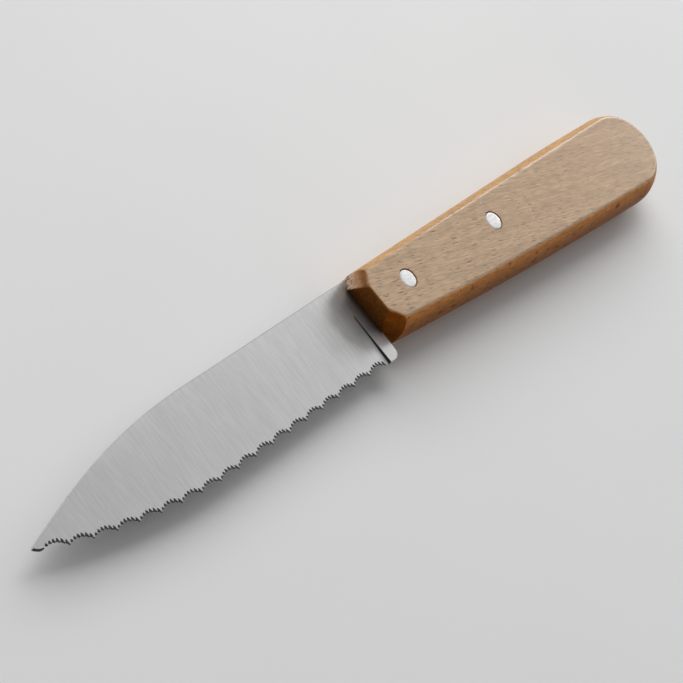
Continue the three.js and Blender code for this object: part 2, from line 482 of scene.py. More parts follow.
@dataclass(frozen=True)
class GroundEdge(PatchyMetal):
    """Steel of the tooth bevels, ground coarse by the wheel that cut the teeth, with scratches for
    patches; its dark tones are partly the coarse grind and partly painted shade of the grooves.
    """

    name: str = "ground_edge"
    # Dark tones: partly the coarse-ground steel, partly painted shade of the grooves
    tones: Pair = (0.055, 0.16)
    roughness: Pair = (0.30, 0.30)
    metal: float = 1.0
    patches: Grain = Grain((9.0, 1.5, 1.5), 3.0, 0.6)
    relief: float = 0.004


@dataclass(frozen=True)
class PaleAlloy(PatchyMetal):
    """Matte pale metal of the rivets."""

    name: str = "pale_alloy"
    tones: Pair = (0.74, 0.90)
    roughness: Pair = (0.65, 0.45)
    metal: float = 0.6
    patches: Grain = Grain((2.2, 2.2, 2.2), 3.0, 0.6)
    relief: float = 0.02


@dataclass(frozen=True)
class Flecks:
    """Lens-shaped flecks along the grain, one in a cell, some of them left out.

    Attributes:
        size: spacing along and across the grain, in millimetres.
        kept: share of the cells that have a fleck.
        weight: how dark a fleck is.
        shift: move of the pattern, so that two patterns differ.
        turn: turn of the pattern from the handle's length, in degrees.
        sizes: how far the flecks shrink by chance, from the longest to the shortest.
        rim: distances from the middle of a cell over which a fleck ends.
        full: share of the flecks that are fully dark.
    """

    size: Pair
    kept: float
    weight: float
    shift: float
    turn: float = 0.0
    sizes: Pair = (0.75, 1.45)
    rim: Pair = (0.05, 0.25)
    full: float = 0.3

    def draw(self, sheet: NodeSheet) -> Socket:
        """Draws the flecks.

        Args:
            sheet: sheet of the material.

        Returns:
            Darkness at each place, from 0 to 1.
        """
        along, across = self.size
        place = sheet.stretched((1 / along, 1 / across, 1.0), self.turn, self.shift, wrapped=True)
        sockets = {"Vector": place, "Scale": 1.0, "Randomness": 1.0}
        cells = sheet.add("ShaderNodeTexVoronoi", sockets, voronoi_dimensions="2D").outputs
        chance = sheet.add("ShaderNodeSeparateColor", {0: cells["Color"]}).outputs
        reach = sheet.product(cells["Distance"], sheet.ramp(chance[1], 0.0, 1.0, *self.sizes))
        there = sheet.ramp(chance[0], 1 - self.kept, 1 - self.full * self.kept)
        return sheet.product(sheet.fall(reach, *self.rim), there, self.weight)


@dataclass(frozen=True)
class VarnishedBeech(Finish):
    """Beech under thin varnish, with short dark flecks along the grain. Places in millimetres.

    A face's turn to the belly runs from 0 where it looks to the spine to 1 where it looks to the belly.
    Heights are those over or under the slot.
    """

    name: str = "varnished_beech"
    # Colours of the flats, pale partly in their own right and partly with a painted sheen of the varnish;
    # of the sides along spine and belly, the belly darker and warmer with painted shade and painted warm
    # bounce light;
    # and painted shade along the belly's middle
    flat: Colour = (0.47, 0.325, 0.207, 1.0)
    spine: Colour = (0.48, 0.28, 0.125, 1.0)
    belly: Colour = (0.70, 0.275, 0.07, 1.0)
    painted_belly_shade: Colour = (0.34, 0.12, 0.025, 1.0)
    # Colours of the end grain at the front: towards the spine, ahead and towards the belly, darker than
    # the sides in their own right and lit or shaded facet by facet with painted light and shade; then the
    # stain next to the flats and the frayed fibres next to the slot, both towards the spine
    spine_end: Colour = (0.57, 0.32, 0.16, 1.0)
    front_end: Colour = (0.25, 0.085, 0.014, 1.0)
    belly_end: Colour = (0.36, 0.095, 0.003, 1.0)
    spine_stain: Colour = (0.47, 0.37, 0.30, 1.0)
    frayed: Colour = (0.74, 0.58, 0.46, 1.0)
    # Colour of the butt, and how far a fleck darkens the wood
    butt_end: Colour = (0.44, 0.25, 0.115, 1.0)
    fleck_tint: Colour = (0.26, 0.25, 0.27, 1.0)
    # Turns to the belly over which one colour takes over from another
    round_side: Pair = (0.2, 0.8)
    # Turns to the belly over which the painted shade along the belly's middle takes over
    painted_shade_turn: Pair = (0.90, 1.0)
    off_spine: Pair = (0.2, 0.4)
    to_front: Pair = (0.2, 0.45)
    to_belly: Pair = (0.55, 0.8)
    # Heights over which the ends turn from painted shade at the slot to their full colour, and the share
    # left at the slot
    slot_shade_heights: Pair = (0.3, 4.0)
    slot_shade_level: float = 0.5
    # Heights over which the stain starts
    stain_heights: Pair = (2.4, 4.4)
    # Fraying: heights over which it ends, levels of the knots where it starts, its share
    fray_heights: Pair = (0.8, 3.4)
    fray_patches: Pair = (0.38, 0.58)
    fray: float = 0.75
    # Fibres, growth rings, streaks and end-grain knots, with how far they change the tone
    fibres: Grain = Grain((0.30, 4.0, 4.0), 3.0, 0.6, GRAIN_TURN)
    fibre_range: Pair = (0.25, 0.75)
    fibre_spread: float = 0.21
    rings: Grain = Grain((0.05, 0.9, 0.9), turn=GRAIN_TURN, shift=3.0)
    streaks: Grain = Grain((0.38, 1.7, 1.7), turn=GRAIN_TURN, shift=17.0)
    band_spread: float = 0.07
    knots: Grain = Grain((1.9, 1.9, 1.1), 4.0, 0.65, shift=31.0)
    knot_spread: float = 0.20
    # Long and short flecks, pores along the belly, and how the flecks fade to the butt
    large: Flecks = Flecks((4.2, 0.50), 0.60, 1.0, 11.0, GRAIN_TURN)
    small: Flecks = Flecks((2.4, 0.34), 0.50, 0.65, 23.0, GRAIN_TURN)
    pores: Flecks = Flecks((4.6, 1.2), 0.60, 0.85, 41.0)
    rear: Pair = (-35.0, 5.0)
    rear_flecks: float = 0.55
    # Height of the slot over the underside
    middle: float = 5.25
    # Roughness from least to most, and level of the wood's own reflection
    roughness: Pair = (0.49, 0.63)
    gloss: float = 0.06
    # Weight of the varnish, share of it off the flats, where and how far edges are rubbed bare
    varnish: float = 0.90
    side_varnish: float = 0.08
    rubbed: Pair = (24.0, 38.0)
    rear_rub: float = 0.35
    rub_left: float = 0.05
    # Roughness of the varnish, and height of the fibres and flecks
    coat_roughness: float = 0.16
    relief: float = 0.03

    def side_colour(self, sheet: NodeSheet, belly: Socket) -> Socket:
        """Colour of the rounded sides, by their turn to the belly: towards the belly darker and warmer
        with painted shade and painted warm bounce light, and with painted shade along its middle.
        """
        sides = sheet.blend(sheet.ramp(belly, *self.round_side), self.spine, self.belly)
        return sheet.blend(sheet.ramp(belly, *self.painted_shade_turn), sides, self.painted_belly_shade)

    def end_colour(self, sheet: NodeSheet, belly: Socket, z: Socket, knots: Socket) -> Socket:
        """Colour of the end grain at the front, with painted light and shade by the way each facet faces
        and painted shade towards the slot.

        Args:
            sheet: sheet of the material.
            belly: turn of the face to the belly.
            z: height over the underside.
            knots: patches of the end grain.

        Returns:
            The colour.
        """
        off = sheet.math("ABSOLUTE", sheet.math("SUBTRACT", z, self.middle))
        spineward = sheet.fall(belly, *self.off_spine)
        # Facet colours, lit or shaded with painted light by the way each facet faces
        ends = sheet.blend(sheet.ramp(belly, *self.to_front), self.spine_end, self.front_end)
        ends = sheet.blend(sheet.ramp(belly, *self.to_belly), ends, self.belly_end)
        # Painted shade of the ends towards the slot and the blade
        ends = sheet.dyed(ends, sheet.grey(sheet.ramp(off, *self.slot_shade_heights, self.slot_shade_level, 1.0)))
        stained = sheet.product(sheet.ramp(off, *self.stain_heights), spineward)
        ends = sheet.blend(stained, ends, sheet.dyed(ends, self.spine_stain))
        patches = sheet.ramp(knots, *self.fray_patches)
        fray = sheet.product(sheet.fall(off, *self.fray_heights), spineward, patches, self.fray)
        return sheet.blend(fray, ends, self.frayed)

    def tone(self, sheet: NodeSheet, fibres: Socket) -> Socket:
        """Change of the colour by fibres, rings and streaks, about 1.

        Args:
            sheet: sheet of the material.
            fibres: noise of the fibres.

        Returns:
            The factor.
        """
        light = sheet.ramp(fibres, *self.fibre_range, 1 - self.fibre_spread, 1 + self.fibre_spread)
        bands = [
            sheet.ramp(sheet.noise(grain), *NOISE, 1 - self.band_spread, 1 + self.band_spread)
            for grain in (self.rings, self.streaks)
        ]
        return sheet.product(light, *bands)

    def flecked(self, sheet: NodeSheet, side: Socket, belly: Socket, x: Socket) -> Socket:
        """Darkness of the flecks, which are round pores on the side along the belly.

        Args:
            sheet: sheet of the material.
            side: share of side grain.
            belly: turn of the face to the belly.
            x: place along the handle.

        Returns:
            The darkness, from 0 to 1.
        """
        flecks = sheet.most(self.large.draw(sheet), self.small.draw(sheet))
        flecks = sheet.product(flecks, sheet.ramp(x, *self.rear, self.rear_flecks, 1.0))
        pores = sheet.product(self.pores.draw(sheet), side, sheet.ramp(belly, *self.to_belly))
        return sheet.most(flecks, pores)

    def coat(self, sheet: NodeSheet, bare: Socket, x: Socket) -> Socket:
        """Weight of the varnish, thin off the flats and rubbed off their edges near the front.

        Args:
            sheet: sheet of the material.
            bare: share of side grain or end grain.
            x: place along the handle.

        Returns:
            The weight.
        """
        varnish = sheet.ramp(bare, 0.5, 1.0, self.varnish, self.side_varnish * self.varnish)
        rubbed = sheet.product(sheet.mark(Mark.WORN), sheet.ramp(x, *self.rubbed, self.rear_rub, 1.0))
        return sheet.product(varnish, sheet.ramp(rubbed, 0.0, 1.0, 1.0, self.rub_left))

    def draw(self, sheet: NodeSheet) -> dict[str, Value]:
        """Draws the wood: colours by the turn of each face, which hold painted light and shade, then
        grain, flecks and varnish.

        Args:
            sheet: sheet of the material.

        Returns:
            Inputs of the surface shader.
        """
        marks = (Mark.SIDE_GRAIN, Mark.END_GRAIN, Mark.BUTT_GRAIN, Mark.BELLY)
        side, end, butt, belly = (sheet.mark(mark) for mark in marks)
        x, _, z = sheet.axes()
        fibres, knots = sheet.noise(self.fibres), sheet.noise(self.knots)
        sawn = sheet.most(end, butt)
        colour = sheet.blend(side, self.flat, self.side_colour(sheet, belly))
        colour = sheet.blend(end, colour, self.end_colour(sheet, belly, z, knots))
        colour = sheet.blend(butt, colour, self.butt_end)
        colour = sheet.dyed(colour, sheet.grey(self.tone(sheet, fibres)))
        dark = sheet.product(self.flecked(sheet, side, belly, x), sheet.math("SUBTRACT", 1.0, sawn))
        colour = sheet.blend(dark, colour, sheet.dyed(colour, self.fleck_tint))
        rays = sheet.product(sawn, sheet.ramp(knots, *NOISE, -self.knot_spread, self.knot_spread))
        colour = sheet.dyed(colour, sheet.grey(sheet.math("ADD", rays, 1.0)))
        height = sheet.math("SUBTRACT", sheet.product(fibres, 0.5), dark)
        normal = sheet.bump(height, 0.6, self.relief)
        return {
            "Base Color": colour,
            "Roughness": sheet.ramp(fibres, *self.fibre_range, *self.roughness),
            "Specular IOR Level": self.gloss,
            "Coat Weight": self.coat(sheet, sheet.most(side, end), x),
            "Coat Roughness": self.coat_roughness,
            "Normal": normal,
            "Coat Normal": normal,
        }


@dataclass(frozen=True)
class PaleFloor(Finish):
    """Plain pale studio floor."""

    name: str = "pale_floor"
    # Reflectance, the same as camera and shiny surfaces see it, and the share left far away
    tone: float = 0.68
    shown: float = 0.75
    far: float = 0.66
    # Distances in millimetres over which it falls to that
    fade: Pair = (220.0, 800.0)
    # Faint clouds, and how far they change the tone
    clouds: Grain = Grain((0.01, 0.01, 0.01))
    cloud_spread: float = 0.01
    roughness: float = 0.9

    def draw(self, sheet: NodeSheet) -> dict[str, Value]:
        """Draws faint clouds on an even tone that fades far away.

        Args:
            sheet: sheet of the material.

        Returns:
            Inputs of the surface shader.
        """
        cloud = sheet.ramp(sheet.noise(self.clouds), *NOISE, -self.cloud_spread, self.cloud_spread)
        away = sheet.add("ShaderNodeVectorMath", {0: sheet.place()}, operation="LENGTH").outputs["Value"]
        tone = sheet.ramp(sheet.seen(), 0.0, 1.0, self.tone, self.shown)
        tone = sheet.product(tone, sheet.ramp(away, *self.fade, 1.0, self.far))
        return {"Base Color": sheet.grey(sheet.math("ADD", tone, cloud)), "Roughness": self.roughness}


def share(values: np.ndarray, start: float | np.ndarray, run: float | np.ndarray) -> np.ndarray:
    """How far values are through a run, from 0 at its start to 1 at its end."""
    return np.clip((values - start) / run, 0, 1)


def bezier(points: Sequence[Pair], steps: int) -> np.ndarray:
    """Points along a Bezier curve, both ends among them.

    Args:
        points: ends and controls, in order.
        steps: number of steps along it.

    Returns:
        Array of steps + 1 points.
    """
    t = np.linspace(0, 1, steps + 1)[:, None]
    hull = [np.tile(point, (steps + 1, 1)).astype(float) for point in points]
    while len(hull) > 1:
        hull = [(1 - t) * a + t * b for a, b in zip(hull, hull[1:])]
    return hull[0]


def around(angles: np.ndarray) -> np.ndarray:
    """Points of the unit circle at angles."""
    return np.column_stack([np.cos(angles), np.sin(angles)])


def stepped(place: Pair, way: float, angle: float) -> Pair:
    """Point some way from a place, at an angle in degrees."""
    turn = math.radians(angle)
    return place[0] + way * math.cos(turn), place[1] + way * math.sin(turn)


def new_piece(name: str, points: np.ndarray, faces: Sequence[Sequence[int]]) -> bpy.types.Object:
    """Object in the scene with a mesh from points in millimetres.

    Args:
        name: name of the object and its mesh.
        points: corners, in millimetres.
        faces: corner numbers of each face.

    Returns:
        The object, at the origin.
    """
    mesh = bpy.data.meshes.new(name)
    mesh.from_pydata((np.asarray(points) * MM).tolist(), [], [list(face) for face in faces])
    mesh.validate()
    piece = bpy.data.objects.new(name, mesh)
    bpy.context.scene.collection.objects.link(piece)
    return piece


def stack(name: str, levels: Sequence[tuple[float, np.ndarray]]) -> bpy.types.Object:
    """Closed skin over outlines at rising heights, with flat ends.

    Args:
        name: name of the object.
        levels: height and outline of each level, counter-clockwise and all with as many corners.

    Returns:
        The object.
    """
    count = len(levels[0][1])
    points = np.vstack([np.column_stack([outline, np.full(count, z)]) for z, outline in levels])
    faces: list[Sequence[int]] = [range(count - 1, -1, -1)]
    for a in range(0, len(points) - count, count):
        b = a + count
        faces += [(a + i, a + (i + 1) % count, b + (i + 1) % count, b + i) for i in range(count)]
    faces.append(range(len(points) - count, len(points)))
    return new_piece(name, points, faces)


def settle(piece: bpy.types.Object) -> None:
    """Turns what a piece's modifiers make into its own plain mesh.

    Args:
        piece: the piece, with its modifiers.
    """
    graph = bpy.context.evaluated_depsgraph_get()
    made = bpy.data.meshes.new_from_object(
        piece.evaluated_get(graph), preserve_all_data_layers=True, depsgraph=graph
    )
    piece.modifiers.clear()
    old = piece.data
    piece.data = made
    bpy.data.meshes.remove(old)
    made.name = piece.name


def cut_out(piece: bpy.types.Object, cutters: Sequence[bpy.types.Object]) -> None:
    """Cuts solid shapes out of a piece and removes them.

    Args:
        piece: what is cut.
        cutters: closed shapes, used up here.
    """
    for cutter in cutters:
        modifier = piece.modifiers.new(cutter.name, "BOOLEAN")
        modifier.operation = "DIFFERENCE"
        modifier.solver = "EXACT"
        modifier.object = cutter
    bpy.context.view_layer.update()
    settle(piece)
    for cutter in cutters:
        mesh = cutter.data
        bpy.data.objects.remove(cutter)
        bpy.data.meshes.remove(mesh)


def round_off(piece: bpy.types.Object, angle: float) -> None:
    """Shades a piece smooth except across edges that turn by more than an angle in degrees."""
    piece.data.shade_smooth()
    piece.data.set_sharp_from_angle(angle=math.radians(angle))


def hand_over(piece: bpy.types.Object, nodes: Sequence[str]) -> None:
    """Gives a finished piece to the frame.

    Args:
        piece: the piece, settled.
        nodes: solids that it stands for.
    """
    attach(piece, "root")
    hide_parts(*nodes)
    LOG.info("%s stands for %s with %d faces", piece.name, ", ".join(nodes), len(piece.data.polygons))


@dataclass
class Rivets:
    """The two rivets, one blank set at both places by a node tree. Sizes in millimetres."""

    # X of the front rivet, distance back to the rear one, radius of the shank
    front: float = 40.6
    spacing: float = 31.5
    radius: float = 1.95
    # Height of the middle of the handle, half the length of a rivet
    middle: float = 5.25
    half: float = 5.2
    # Radius of the rounded rim, rise of the end over it, and its rows as shares of the radius
    lip: float = 0.28
    dome: float = 0.05
    dome_rows: tuple[float, ...] = (0.2, 0.45, 0.7, 0.82)
    # Clearance of the holes, and how far the drill reaches past the flats
    gap: float = 0.12
    past: float = 5.0
    # Corners of a round, and turn in degrees from which an edge is sharp
    sides: int = 64
    crease: float = 40.0

    def ring(self, radius: float) -> np.ndarray:
        """Corners of a round, in plan."""
        return radius * around(np.linspace(0, 2 * math.pi, self.sides, endpoint=False))

    def profile(self) -> np.ndarray:
        """Radius and height of the blank along its outline.

        Returns:
            Points from the upper centre to the lower one, without the centres.
        """
        end = [(self.radius * row, self.half - self.dome * row**2) for row in self.dome_rows]
        rim = self.half - self.dome
        for angle in np.radians(np.linspace(0, 90, 7)):
            inset = self.lip * (1 - math.sin(angle))
            end.append((self.radius - inset, rim - self.lip * (1 - math.cos(angle))))
        upper = np.array(end)
        return np.vstack([upper, upper[::-1] * (1, -1)])

    def blank(self) -> bpy.types.Object:
        """One rivet, turned about the Z axis.

        Returns:
            The object, at the origin of the plan.
        """
        rings = [
            np.column_stack([self.ring(radius), np.full(self.sides, self.middle + height)])
            for radius, height in self.profile()
        ]
        upper, lower = ([(0.0, 0.0, self.middle + half)] for half in (self.half, -self.half))
        points = np.vstack([upper, *rings, lower])
        last = len(points) - 1
        starts = range(1, last, self.sides)
        faces: list[tuple[int, ...]] = []
        for i in range(self.sides):
            j = (i + 1) % self.sides
            faces.append((0, 1 + i, 1 + j))
            faces += [(a + i, b + i, b + j, a + j) for a, b in zip(starts, starts[1:])]
            faces.append((last, starts[-1] + j, starts[-1] + i))
        return new_piece("rivet_pair", points, faces)

    def recipe(self) -> Recipe:
        """Draws the tree that sets the blank at each place.

        Returns:
            The recipe.
        """
        kinds = {"Blank": "Geometry", "Count": "Int", "Start": "Vector", "Step": "Vector"}
        recipe = Recipe("set_rivets", {**kinds, "Finish": "Material"})
        given = recipe.given
        sockets = {"Count": given["Count"], "Start Location": given["Start"], "Offset": given["Step"]}
        places = recipe.add("GeometryNodeMeshLine", sockets).outputs[0]
        sockets = {"Points": places, "Instance": given["Blank"]}
        copies = recipe.add("GeometryNodeInstanceOnPoints", sockets).outputs[0]
        recipe.close(copies, {"Finish": None})
        return recipe

    def cutters(self) -> list[bpy.types.Object]:
        """Rods that drill the holes for both rivets.

        Returns:
            The rods.
        """
        ring = self.ring(self.radius + self.gap)
        heights = (-self.past, 2 * self.middle + self.past)
        places = (self.front, self.front - self.spacing)
        return [stack("drill", [(z, ring + (x, 0)) for z in heights]) for x in places]

    def build(self, finish: PaleAlloy) -> bpy.types.Object:
        """Builds the rivets and hands them over.

        Args:
            finish: finish of the metal.

        Returns:
            The piece.
        """
        piece = self.blank()
        values = {
            "Count": 2,
            "Start": (self.front * MM, 0.0, 0.0),
            "Step": (-self.spacing * MM, 0.0, 0.0),
            "Finish": finish.material(),
        }
        self.recipe().run(piece, values)
        round_off(piece, self.crease)
        hand_over(piece, ["front_rivet", "rear_rivet"])
        return piece


@dataclass
class Handle:
    """Beech handle: rounded sides, faceted front, round butt, slot for the tang. Sizes in millimetres."""

    # Whole length, distance between the flats, distances of spine and belly from the rivet line
    length: float = 102.0
    thickness: float = 10.5
    spine: float = 7.15
    front_belly: float = 7.1
    butt_belly: float = 13.1
    # Bow of the belly, how far the sides stand out past the flats, share of that at the butt
    swell: float = 0.55
    crown: float = 2.0
    butt_crown: float = 0.7
    # How far the spine falls in towards the butt, from how far behind the middle, how soon
    spine_fall: float = 0.5
    fall_run: Pair = (12.0, 28.0)
    # How much further out the flats run along the spine at the front, from which X, how soon
    spine_fill: float = 0.75
    fill_run: Pair = (-40.0, 85.0)
    # Facets at the front: edge left between two, turn and lean in degrees, reach of the belly
    facet_land: float = 5.15
    facet_turn: float = 43.0
    facet_tilt: float = 20.0
    facet_reach: float = 3.5
    # Radius of the worn edges of the flats, and width of the row of faces inside them
    edge_round: float = 0.5
    edge_ease: float = 0.25
    # Radius of the upright edges of the facets, at mid height and at the flats
    corner_round: Pair = (0.3, 1.8)
    # Width of the slot, X of its end, depths at its end and at the heel, X of the heel's relief
    slot: float = 1.32
    tang_end: float = 0.95
    tang_drops: Pair = (4.35, 5.35)
    heel: float = 50.75
    # How far the saw reaches past the front
    past: float = 5.0
    # Turns of a face from which it has side grain, end grain, butt grain and wear, and how soon all of it
    side_turn: Pair = (-0.93, 0.2)
    end_turn: Pair = (0.3, 0.3)
    butt_turn: Pair = (0.45, 0.35)
    worn_turn: Pair = (-0.9995, 0.02)
    # Places of the last butt grain and the first end grain, as shares of the length from the middle
    ends: Pair = (-0.3, 0.4)
    # Turn in degrees from which an edge is sharp
    crease: float = 32.0

    def belly(self, x: np.ndarray, inset: float) -> tuple[np.ndarray, np.ndarray]:
        """Belly line drawn in by an amount.

        Args:
            x: places along the full line.
            inset: how far it is drawn in.

        Returns:
            The points of the line drawn in, and its slopes.
        """
        radius = (self.spine + self.butt_belly) / 2
        start = self.length / 2 + 2 * self.crown
        run = start - (radius - self.length / 2)
        bow = (self.front_belly + self.butt_belly) / 2 + 2 * self.swell
        t = (start - x) / run
        rise = 2 * (bow - self.front_belly)
        bend = self.front_belly - 2 * bow + self.butt_belly
        y = self.front_belly + rise * t + bend * t**2
        slope = -(rise + 2 * bend * t) / run
        stretch = np.sqrt(1 + slope**2)
        return np.column_stack([x + inset * slope / stretch, y - inset / stretch]), slope

    def corners(self, z: float, soft: float, inset: float) -> list[np.ndarray]:
        """Rounded corners of the front at one height, from the spine to the belly.

        Args:
            z: height over the underside.
            soft: how far the outline is drawn in for the worn edge of a flat.
            inset: how far the sides are drawn in.

        Returns:
            Points of each corner.
        """
        middle, front = self.thickness / 2, self.length / 2
        off = abs(z - middle)
        turn, tilt = math.radians(self.facet_turn), math.radians(self.facet_tilt)
        facet = math.cos(turn) * front + math.sin(turn) * self.facet_land / 2
        facet += math.tan(tilt) * (middle - off) - soft
        near, slope = self.belly(np.array([front - self.facet_reach]), inset)
        out = math.pi / 2 + math.atan(slope[0])
        reach = float(near[0] @ (math.cos(out), math.sin(out)))
        sides = [
            (-math.pi / 2, self.spine - inset),
            (-turn, facet),
            (0.0, front - soft),
            (turn, facet),
            (out, reach),
        ]
        sharp, blunt = self.corner_round
        radius = sharp + (blunt - sharp) * (off / middle) ** 3
        return [self.rounded(one, other, radius) for one, other in zip(sides, sides[1:])]

    def rounded(self, one: Pair, other: Pair, radius: float) -> np.ndarray:
        """Rounded corner between two straight sides.

        Args:
            one: outward angle of the first side, and its distance from the origin.
            other: the same of the second side.
            radius: radius of the corner.

        Returns:
            Points of the corner's arc.
        """
        (start, near), (end, far) = one, other
        centre = np.linalg.solve(around(np.array([start, end])), np.array([near, far]) - radius)
        return centre + radius * around(np.linspace(start, end, 8))

    def supports(self, start: np.ndarray, end: np.ndarray) -> np.ndarray:
        """Two points near the ends of a straight run, which keep its shading flat."""
        along = (end - start) / np.linalg.norm(end - start)
        return np.array([start + 0.2 * along, end - 0.2 * along])

    def level(self, z: float, soft: float) -> np.ndarray:
        """Outline of the handle at one height.

        Args:
            z: height over the underside.
            soft: how far the outline is drawn in for the worn edge of a flat.

        Returns:
            Points in plan, counter-clockwise, as many at each height.
        """
        middle = self.thickness / 2
        arc = (middle**2 + self.crown**2) / (2 * self.crown)
        inset = arc - math.sqrt(arc**2 - (z - middle) ** 2) + soft
        radius = (self.spine + self.butt_belly) / 2
        butt = np.array([radius - self.length / 2, self.butt_belly - radius])
        corners = self.corners(z, soft, inset)
        points = [np.linspace((butt[0] + 1, inset - self.spine), corners[0][0] - (0.25, 0), 26)]
        for corner, after in zip(corners, corners[1:]):
            points += [corner, self.supports(corner[-1], after[0])]
        points.append(corners[-1])
        start = corners[-1][-1][0] - 0.25 + 0.08 * inset
        points.append(self.belly(np.linspace(start, butt[0] + 0.5, 44), inset)[0])
        angles = np.radians(np.linspace(92, 270, 48))
        reach = radius - inset * (1 - (1 - self.butt_crown) * np.cos(angles) ** 2)
        points.append(butt + reach[:, None] * around(angles))
        outline = np.vstack(points)
        off = ((z - middle) / middle) ** 2
        fall = self.spine_fall * (1 - off) * share(-outline[:, 0], *self.fall_run) ** 2
        fill = self.spine_fill * off * share(outline[:, 0], *self.fill_run)
        outline[:, 1] += (fall - fill) * share(-outline[:, 1], 0.0, self.spine)
        return outline

    def heights(self) -> list[Pair]:
        """Levels that the handle is built up of.

        Returns:
            Height and wear of each, from the underside.
        """
        radius = self.edge_round
        turns = np.radians(np.linspace(0, 90, 7))
        lower = [(0.0, radius + self.edge_ease)]
        lower += [(radius * (1 - math.cos(a)), radius * (1 - math.sin(a))) for a in turns]
        side = [(z, 0.0) for z in np.linspace(radius, self.thickness - radius, 21)[1:-1]]
        upper = [(self.thickness - z, soft) for z, soft in reversed(lower)]
        return [*lower, *side, *upper]

    def slot_cutter(self) -> bpy.types.Object:
        """Plate that saws the slot, open at the front and along the spine.

        Returns:
            The plate.
        """
        front, spine, belly = self.length / 2 + self.past, -2 * self.spine, 2 * self.butt_belly
        end_drop, front_drop = self.tang_drops
        outline = [(front, spine), (front, belly), (self.heel, belly), (self.heel, front_drop)]
        outline += [(self.tang_end, end_drop), (self.tang_end, spine)]
        heights = ((self.thickness - self.slot) / 2, (self.thickness + self.slot) / 2)
        return stack("saw", [(z, np.array(outline)) for z in heights])

    def mark_grain(self, piece: bpy.types.Object) -> None:
        """Marks each face with its shares of side and end grain, its turn to the belly and its wear.

        Args:
            piece: the handle, cut.
        """
        count = len(piece.data.polygons)
        normals, centres = np.zeros(3 * count), np.zeros(3 * count)
        piece.data.polygons.foreach_get("normal", normals)
        piece.data.polygons.foreach_get("center", centres)
        ahead, across, upright = normals.reshape(-1, 3).T
        upright = np.abs(upright)
        x = centres[::3] / (self.length * MM)
        shares = {
            Mark.SIDE_GRAIN: share(-upright, *self.side_turn),
            Mark.END_GRAIN: share(ahead, *self.end_turn) * (x > self.ends[1]),
            Mark.BUTT_GRAIN: share(-ahead, *self.butt_turn) * (x < self.ends[0]),
            Mark.BELLY: 0.5 + 0.5 * across,
            Mark.WORN: share(-upright, *self.worn_turn),
        }
        for mark, values in shares.items():
            layer = piece.data.attributes.new(mark.value, "FLOAT", "FACE")
            layer.data.foreach_set("value", values.astype(np.float32))

    def build(self, finish: VarnishedBeech, rivets: Rivets) -> bpy.types.Object:
        """Builds the handle and hands it over.

        Args:
            finish: finish of the wood.
            rivets: the rivets that its holes are for.

        Returns:
            The piece.
        """
        piece = stack("beech_handle", [(z, self.level(z, soft)) for z, soft in self.heights()])
        cut_out(piece, [self.slot_cutter(), *rivets.cutters()])
        round_off(piece, self.crease)
        self.mark_grain(piece)
        piece.data.materials.clear()
        piece.data.materials.append(finish.material())
        hand_over(piece, ["handle"])
        return piece


@dataclass
class Column:
    """A line from the blade's back to its edge, over which its skin is laid.

    Attributes:
        edge: point on the line of the tooth points, in plan.
        bevel: width of the bevel.
        lip: height at which the bevel meets the edge, as a share of the thickness there.
        inward: unit vector from the edge into the blade.
        along: place along the serration, in scallops.
        toothed: 1 where the edge is serrated, else 0.
    """

    edge: Pair
    bevel: float
    lip: float
    inward: Pair = (0.0, -1.0)
    along: float = 0.0
    toothed: float = 0.0


